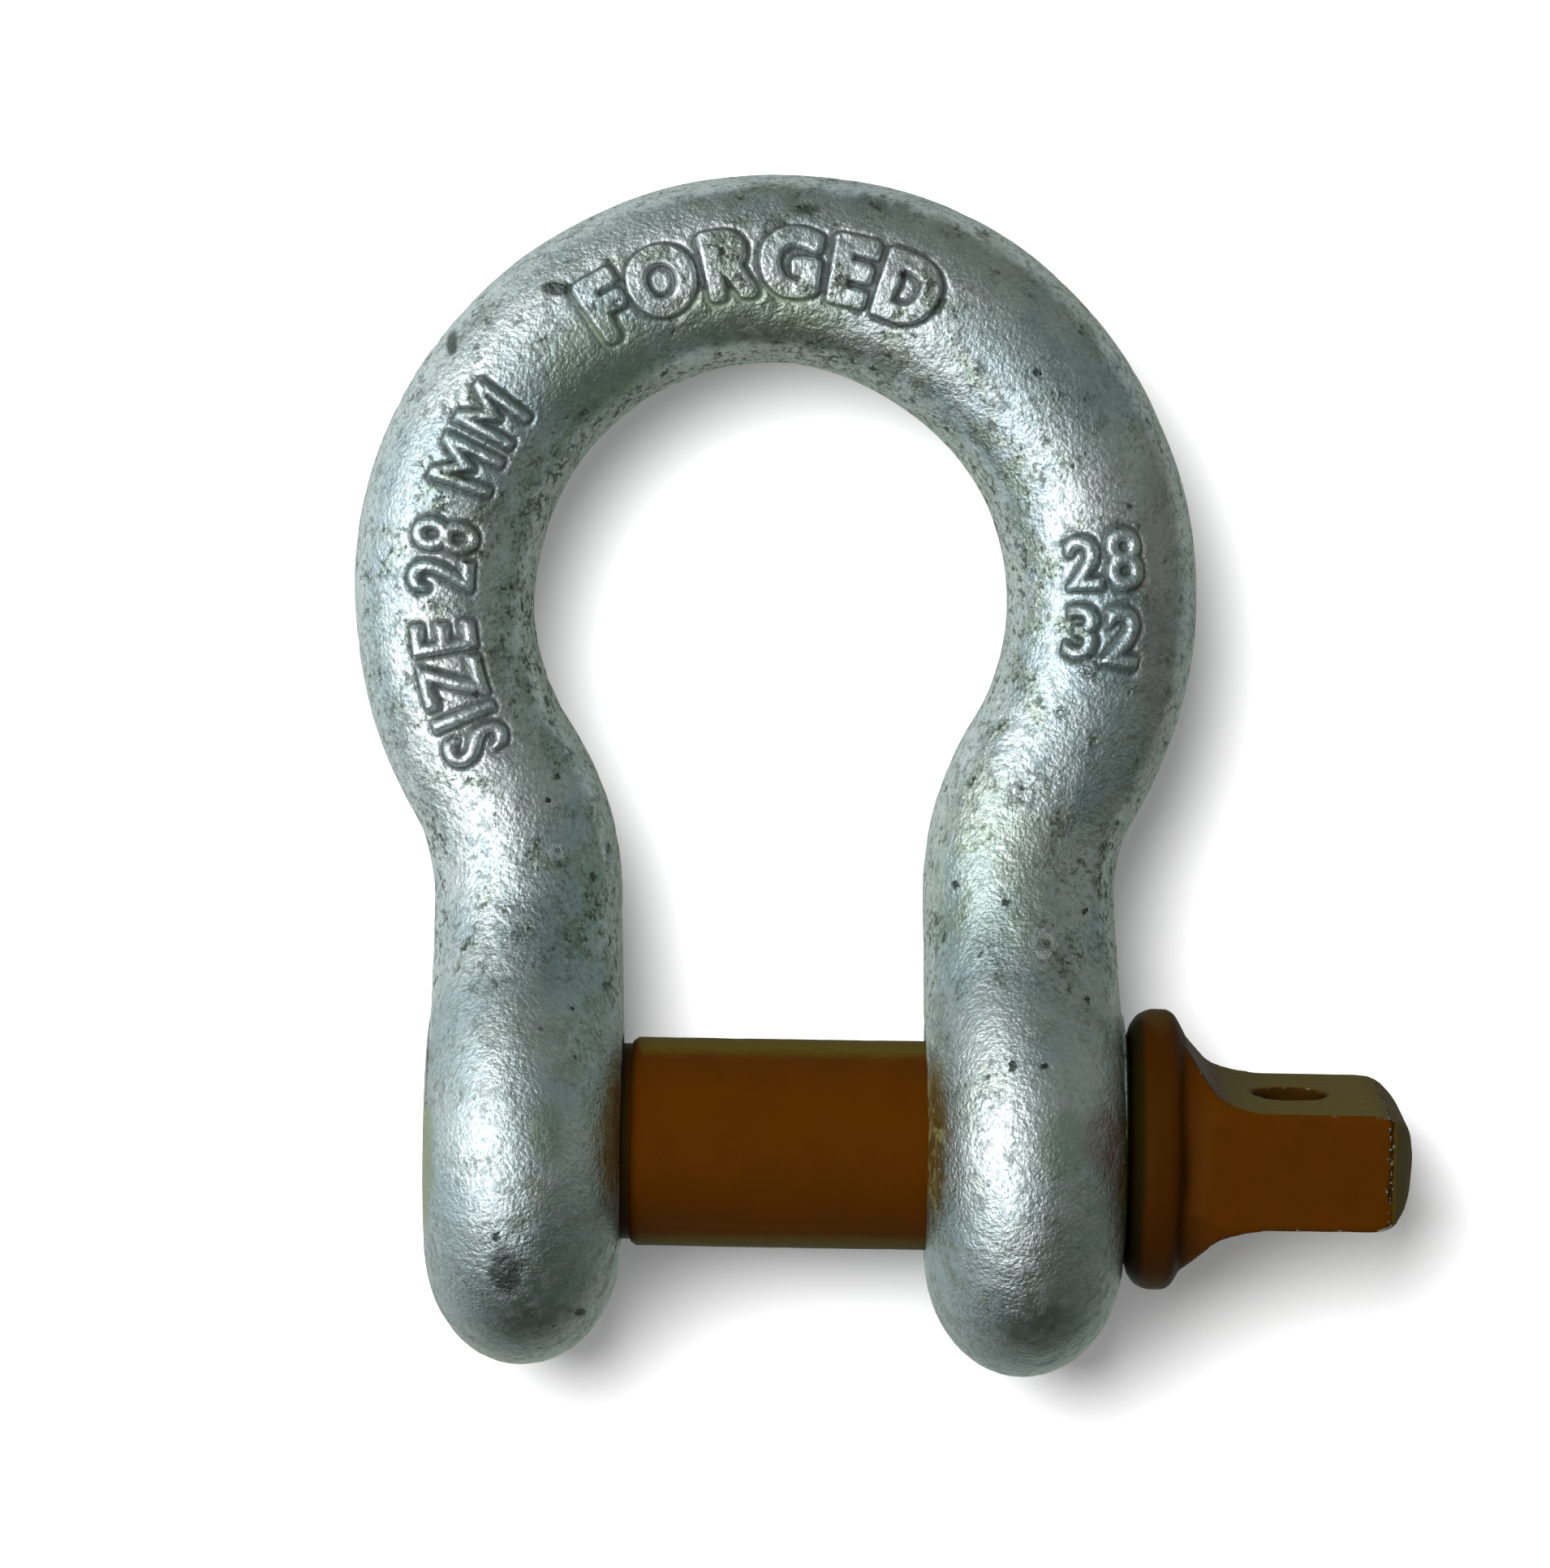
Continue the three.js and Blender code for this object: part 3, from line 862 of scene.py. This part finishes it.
def letterOutlines(text, height, length, spacing):
    # outline segments of a line of text, centred on the origin and scaled to its height and length
    curve = bpy.data.curves.new("letters", "FONT")
    curve.body = text
    curve.dimensions = "2D"
    curve.fill_mode = "NONE"
    curve.resolution_u = 6
    curve.space_character = spacing
    writing = bpy.data.objects.new("letters", curve)
    bpy.context.scene.collection.objects.link(writing)
    bpy.context.view_layer.update()
    mesh = bpy.data.meshes.new_from_object(writing.evaluated_get(bpy.context.evaluated_depsgraph_get()))
    points = coordinates(mesh)[:, :2]
    edges = np.array([edge.vertices[:] for edge in mesh.edges])
    bpy.data.objects.remove(writing)
    bpy.data.curves.remove(curve)
    bpy.data.meshes.remove(mesh)
    low, high = points.min(0), points.max(0)
    points = (points - (low + high) / 2) / (high - low) * np.array([length, height])
    return points[edges]


def depthInside(points, segments):
    # distance to the outline, above 0 inside the letters
    a, b = segments[:, 0], segments[:, 1]
    along = b - a
    size = (along ** 2).sum(1).clip(1e-12)
    depth = np.empty(len(points))
    for start in range(0, len(points), 2000):
        p = points[start:start + 2000, None, :]
        t = (((p - a) * along).sum(2) / size).clip(0, 1)
        near = np.sqrt(((a + t[..., None] * along - p) ** 2).sum(2)).min(1)
        spans = (a[:, 1] > p[..., 1]) != (b[:, 1] > p[..., 1])
        rise = np.where(np.abs(along[:, 1]) < 1e-12, 1e-12, along[:, 1])
        crossing = a[:, 0] + (p[..., 1] - a[:, 1]) / rise * along[:, 0]
        inside = (spans & (p[..., 0] < crossing)).sum(1) % 2 == 1
        depth[start:start + 2000] = np.where(inside, near, -near)
    return depth


def markCoordinates(mark, path, across):
    # where a point of the skin lies on a mark's own page
    s = path - mark["middle"] * barLength
    if mark["along"]:
        return np.stack([s, -across], 1)
    return np.stack([-across, -s - mark["rise"]], 1)


def onMark(mark, page, margin):
    return (np.abs(page[:, 0]) < mark["length"] / 2 + margin) & (
        np.abs(page[:, 1]) < mark["height"] / 2 + margin
    )


def bowSkin():
    form = bowForm
    earRows = round(form["earTurn"] / form["alongStep"])
    barRows = round(barLength / form["alongStep"])
    rows = np.concatenate([
        np.linspace(-form["earTurn"], 0, earRows + 1)[:-1],
        np.linspace(0, barLength, barRows + 1),
        np.linspace(barLength, barLength + form["earTurn"], earRows + 1)[1:],
    ])
    around = np.linspace(-0.5, 0.5, form["aroundSteps"] + 1)
    pageWidth = 90
    page = np.stack(np.meshgrid(rows, around * pageWidth, indexing="ij"), -1).reshape(-1, 2)
    wide = len(around)
    corner = (np.arange(len(rows) - 1)[:, None] * wide + np.arange(wide - 1)).ravel()
    faces = np.stack([corner, corner + 1, corner + wide + 1, corner + wide], 1)
    piece = meshPiece("bowVisual", np.column_stack([page, np.zeros(len(page))]), faces)

    # finer under the marks, still on the flat page of path and v
    path, v = page[:, 0], page[:, 1] / pageWidth
    across = bowPoints(path, v)[1]
    marked = np.zeros(len(page), bool)
    for mark in marks:
        marked |= onMark(mark, markCoordinates(mark, path, across), form["markMargin"])
    body = bmesh.new()
    body.from_mesh(piece.data)
    body.verts.ensure_lookup_table()
    edges = [e for e in body.edges if marked[e.verts[0].index] and marked[e.verts[1].index]]
    bmesh.ops.subdivide_edges(body, edges=edges, cuts=form["markCuts"], use_grid_fill=True)
    bmesh.ops.triangulate(body, faces=[f for f in body.faces if len(f.verts) > 4])
    body.to_mesh(piece.data)
    body.free()

    page = coordinates(piece.data)
    path, v = page[:, 0], page[:, 1] / pageWidth
    points, across = bowPoints(path, v)
    raised = np.zeros(len(page))
    for mark in marks:
        onPage = markCoordinates(mark, path, across)
        near = np.flatnonzero(onMark(mark, onPage, form["markMargin"]))
        outlines = letterOutlines(mark["text"], mark["height"], mark["length"], mark["spacing"])
        depth = depthInside(onPage[near], outlines) + mark["grow"]
        t = np.clip((depth + 0.1) / mark["bevel"], 0, 1)
        crest = markHeight * (1 - (1 - t) ** 2.2) * np.clip((depth + 0.25) / 0.5, 0, 1)
        groove = 0.27 * np.exp(-((depth + 0.45) / 0.34) ** 2)
        raised[near] = crest - groove
    piece.data.vertices.foreach_set("co", (points * metre).ravel())
    storeField(piece.data, "raised", raised)
    # 0 at the front and back, 0.25 on the rim inside the bow and -0.25 on the outer one
    storeField(piece.data, "around", np.sign(v) * (0.25 - np.abs(np.abs(v) - 0.25)))
    outward(piece, merge=2e-7)
    print("bow skin:", len(piece.data.polygons), "faces")
    return piece


def makeBow():
    form = bowForm
    piece = bowSkin()
    runNodes(piece, forgedSkin, {**form["relief"], "Finish": zinc})
    storeRidges(piece.data, 10, 0.28)
    for key in ("tappedEar", "plainEar"):
        ear = form[key]
        inner = ear["x"] - ear["halfWidth"]
        outer = ear["x"] + ear["halfWidth"]
        proud = form["spotFaceProud"]
        flatRim, foot = form["spotFace"] - 2.3, form["spotFace"] + 0.5
        ring = turned("ring", [
            (inner - proud, 0), (inner - proud, flatRim), (inner + 0.4, foot),
            (outer - 0.4, foot), (outer + proud, flatRim), (outer + proud, 0),
        ], form["roundSegments"])
        combine(piece, ring, "UNION")
        past = 1.0  # the cutters stand out of the ear by this much
        hole = turned("hole", [
            (inner - past, 0), (inner - past, ear["hole"] + ear["chamfer"] + past),
            (inner + ear["chamfer"], ear["hole"]), (outer - ear["chamfer"], ear["hole"]),
            (outer + past, ear["hole"] + ear["chamfer"] + past), (outer + past, 0),
        ], form["roundSegments"])
        combine(piece, hole, "DIFFERENCE")
        if key == "tappedEar":
            ends = {"From": inner - past, "To": outer + past}
            tap = threadPiece("tap", thread, {**form["tap"], **ends, "Finish": zinc})
            combine(piece, tap, "DIFFERENCE")
    piece.data.materials.clear()
    piece.data.materials.append(zinc)

    def nearHoles(middle):
        return np.hypot(middle[:, 1], middle[:, 2]) < 21.5

    softShading(piece, 28, nearHoles)
    return piece


bow = makeBow()
print("bow made:", len(bow.data.polygons), "faces")


def bend(start, control, end, steps=8):
    # points of a quadratic curve, without its start
    t = np.linspace(0, 1, steps + 1)[1:, None]
    a, b, c = (np.array(point, float) for point in (start, control, end))
    return [tuple(p) for p in (1 - t) ** 2 * a + 2 * t * (1 - t) * b + t ** 2 * c]


def makeHead():
    form = pinForm
    t, w, back = form["tangHalfThickness"], form["tangHalfWidth"], form["collarBackX"]
    end, corner = form["tangEndX"], form["tangCornerX"]
    start, endRound = 57.0, 7.0
    half = [(start, 17.8), (61.4, 17.8), (62.9, 16.9), (64.9, 14.0), (66.6, 11.8)]
    half += bend((66.6, 11.8), (68.6, 9.6), (75.0, t), 10)
    half += [(end - endRound, t)]
    half += bend((end - endRound, t), (end - 1.0, t - 0.5), (end - 0.5, 2.5))
    side = half + [(end, 0.0)] + [(x, -z) for x, z in reversed(half)]
    plan = [(start, 17.0), (back, w - 1.0), (back + 2.4, w), (corner - 1.0, w)]
    plan += bend((corner - 1.0, w), (corner + 0.4, w), (corner + 0.9, w - 2.0))
    plan += bend((corner + 0.9, w - 2.0), (end + 0.35, 8.0), (end, 0.0), 10)
    outline = plan + [(x, -y) for x, y in reversed(plan[:-1])]
    angles = np.linspace(0, 2 * math.pi, 48, endpoint=False)
    eye = [
        (form["tangHoleX"] + form["tangHoleRadius"] * math.cos(a), form["tangHoleRadius"] * math.sin(a))
        for a in angles
    ]
    head = prism("head", [side], "Y", 24.0)
    combine(head, prism("plan", [outline, eye], "Z", 24.0), "INTERSECT")
    envelope = turned("envelope", [
        (start, 0), (start, 18.4), (62.6, 18.9), (64.5, 19.6), (67.0, 20.6), (70.0, 21.1), (end + 1, 21.1),
        (end + 1, 0),
    ])
    combine(head, envelope, "INTERSECT")
    head.data.transform(Matrix.Rotation(math.radians(form["tangTurn"]), 4, "X"))
    collar = turned("collar", form["collar"])
    combine(head, collar, "UNION")
    remesh = head.modifiers.new("voxels", "REMESH")
    remesh.mode = "VOXEL"
    remesh.voxel_size = form["voxel"] * metre
    smooth = head.modifiers.new("rounding", "SMOOTH")
    smooth.factor = 0.5
    smooth.iterations = 6
    applyModifiers(head)
    return head


def makePin():
    form = pinForm
    pin = makeHead()
    neck, full = form["threadRadius"], form["shankRadius"]
    threadEnd, shoulder = form["threadEndX"], form["shoulderX"]
    along = [(x, full) for x in np.linspace(-20, form["collarX"], 75)]
    shank = turned(
        "shank",
        [(threadEnd, 0), (threadEnd, neck - 0.5), (threadEnd + 0.5, neck)]
        + [(shoulder, neck), (shoulder + 0.15, neck + 0.4), (shoulder + 1.0, full)]
        + along
        + [(form["collarX"] + 1.5, full), (form["collarX"] + 1.5, 0)],
        128,
    )
    combine(pin, shank, "UNION")
    storeField(pin.data, "raised", np.zeros(len(pin.data.vertices)))
    outward(pin)
    runNodes(pin, forgedSkin, {**form["relief"], "Finish": paint})
    storeRidges(pin.data, 12, 0.35)
    storeFacing(pin.data)
    screw = threadPiece("screw", thread, {
        "From": form["endX"], "To": form["threadEndX"] + 1.0, "Pitch": form["threadPitch"],
        "Root radius": form["threadRoot"], "Crest radius": form["threadRadius"],
        "Flat radius": form["threadRadius"] - 0.2, "Chamfer": 1.6,
        "Steps along": 116, "Steps round": 72, "Finish": paint,
    })
    storeRidges(screw.data, 4, 0.5)
    storeFacing(screw.data)
    combine(pin, screw, "UNION")
    pin.name = pin.data.name = "screwPinVisual"
    pin.data.materials.clear()
    pin.data.materials.append(paint)
    softShading(pin, 40)
    return pin


screwPin = makePin()
print("screw pin made:", len(screwPin.data.polygons), "faces")

for piece, body, node, slotName, finish in (
    (bow, "bow", "bow", "galvanised", zinc),
    (screwPin, "screw_pin", "screw_pin", "pin_paint", paint),
):
    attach(piece, body)
    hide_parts(node)
    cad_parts[node].data.materials.clear()
    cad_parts[node].data.materials.append(finish)
print("pieces placed on their bodies")


studio = {
    "cameraDistance": 1100.0,
    "roll": 0.9,  # degrees, the bow stands upright and the pin runs down to the right
    "aimX": 0.28,
    "aimZ": 55.1,
    "frameHeight": 240.6,  # of the view at the pin's axis
    "backdropY": 35.45,
    "backdropShade": (0.90, 0.90, 0.90),
    "softboxAngle": (-15.0, 13.0),  # degrees left and up of the camera's line
    "softboxDistance": 1000.0,
    "softboxSize": 620.0,
    "softboxPower": 21.0,
    "diffuseAmbient": 0.42,
}


def addCamera():
    roll = math.radians(studio["roll"])
    right = Vector((math.cos(roll), 0, math.sin(roll)))
    up = Vector((-math.sin(roll), 0, math.cos(roll)))
    back = Vector((0, -1, 0))
    lens = bpy.data.cameras.new("camera")
    lens.sensor_width = 36.0
    lens.lens = 36.0 * studio["cameraDistance"] / studio["frameHeight"]
    lens.clip_start = 0.05
    lens.clip_end = 20.0
    camera = bpy.data.objects.new("camera", lens)
    place = (right * studio["aimX"] + up * studio["aimZ"] + back * studio["cameraDistance"]) * metre
    turn = Matrix((right, up, back)).transposed().to_4x4()
    camera.matrix_world = Matrix.Translation(place) @ turn
    bpy.context.scene.collection.objects.link(camera)
    bpy.context.scene.camera = camera


def addBackdrop():
    # pale board that the shackle lies on; it is seen from its front only
    half, y = 1500.0, studio["backdropY"]
    corners = [(-half, y, 55 - half), (half, y, 55 - half), (half, y, 55 + half), (-half, y, 55 + half)]
    board = meshPiece("board", np.array(corners) * metre, [(0, 1, 2, 3)])
    material, g = newMaterial("pale board")
    matt = g.add("ShaderNodeBsdfDiffuse", None, {"Color": (*studio["backdropShade"], 1)})
    clear = g.add("ShaderNodeBsdfTransparent")
    behind = g.add("ShaderNodeNewGeometry", out="Backfacing")
    both = g.add("ShaderNodeMixShader", None, {0: behind, 1: matt, 2: clear})
    g.end("ShaderNodeOutputMaterial", {"Surface": both})
    board.data.materials.append(material)
    board.visible_glossy = False


def addSoftbox():
    light = bpy.data.lights.new("softbox", "AREA")
    light.shape = "DISK"
    light.size = studio["softboxSize"] * metre
    light.energy = studio["softboxPower"]
    lamp = bpy.data.objects.new("softbox", light)
    left, rise = (math.radians(a) for a in studio["softboxAngle"])
    away = Vector((math.sin(left) * math.cos(rise), -math.cos(left) * math.cos(rise), math.sin(rise)))
    target = Vector((0, 0, 55.0))
    lamp.matrix_world = (
        Matrix.Translation((target + away * studio["softboxDistance"]) * metre)
        @ away.to_track_quat("Z", "Y").to_matrix().to_4x4()
    )
    lamp.visible_glossy = False
    lamp.visible_camera = False
    bpy.context.scene.collection.objects.link(lamp)


# Soft lights far off, as directions (left-right, front-back, up-down), brightness, tightness and tint.
farLights = [
    {"towards": (-0.75, -0.62, 0.32), "strength": 2.8, "tightness": 16.0, "tint": (1.06, 1.0, 1.0)},
    {"towards": (-0.74, -0.66, -0.08), "strength": 2.4, "tightness": 16.0, "tint": (1.06, 1.0, 1.0)},
    {"towards": (-0.48, -0.78, -0.42), "strength": 2.9, "tightness": 17.0, "tint": (1.06, 1.0, 1.0)},
    {"towards": (-0.92, 0.20, 0.20), "strength": 0.90, "tightness": 2.4, "tint": (0.94, 1.0, 1.03)},
    {"towards": (0.97, -0.10, 0.20), "strength": 0.22, "tightness": 4.0, "tint": (0.98, 1.0, 0.96)},
    {"towards": (-0.10, -0.98, 0.12), "strength": 0.42, "tightness": 5.0, "tint": (0.98, 1.0, 1.0)},
    {"towards": (0.0, 0.0, 1.0), "strength": 0.11, "tightness": 1.6, "tint": (0.95, 1.0, 0.96)},
    {"towards": (0.0, 0.90, -0.44), "strength": 0.30, "tightness": 11.0, "tint": (0.97, 1.0, 0.96)},
    {"towards": (0.1, 1.0, 0.0), "strength": 0.28, "tightness": 3.0, "tint": (0.95, 1.0, 0.90)},
]
farShade = (0.062, 0.078, 0.056)


def addWorld():
    world = bpy.data.worlds.new("studio")
    bpy.context.scene.world = world
    world.use_nodes = True
    world.node_tree.nodes.clear()
    g = Graph(world.node_tree)
    direction = g.add("ShaderNodeTexCoord", out="Generated")
    total = (*farShade, 1)
    for light in farLights:
        aim = Vector(light["towards"]).normalized()
        facing = g.math("MAXIMUM", g.vector("DOT_PRODUCT", direction, tuple(aim), out="Value"), 0.0)
        lobe = g.math("POWER", facing, light["tightness"]) * light["strength"]
        tinted = g.vector("SCALE", light["tint"])
        g.tree.links.new(lobe.socket, tinted.socket.node.inputs["Scale"])
        total = g.vector("ADD", total if isinstance(total, Wire) else total[:3], tinted)
    path = g.add("ShaderNodeLightPath", out="Is Camera Ray")
    ambient = studio["diffuseAmbient"]
    seen = g.blend(path.other("Is Diffuse Ray"), total, (ambient, ambient, ambient, 1))
    seen = g.blend(path, seen, (1.0, 1.0, 1.0, 1))
    shade = g.add("ShaderNodeBackground", None, {"Color": seen, "Strength": 1.0})
    g.end("ShaderNodeOutputWorld", {"Surface": shade})


addCamera()
addBackdrop()
addSoftbox()
addWorld()
bpy.context.scene.view_settings.view_transform = "Standard"
print("studio set")
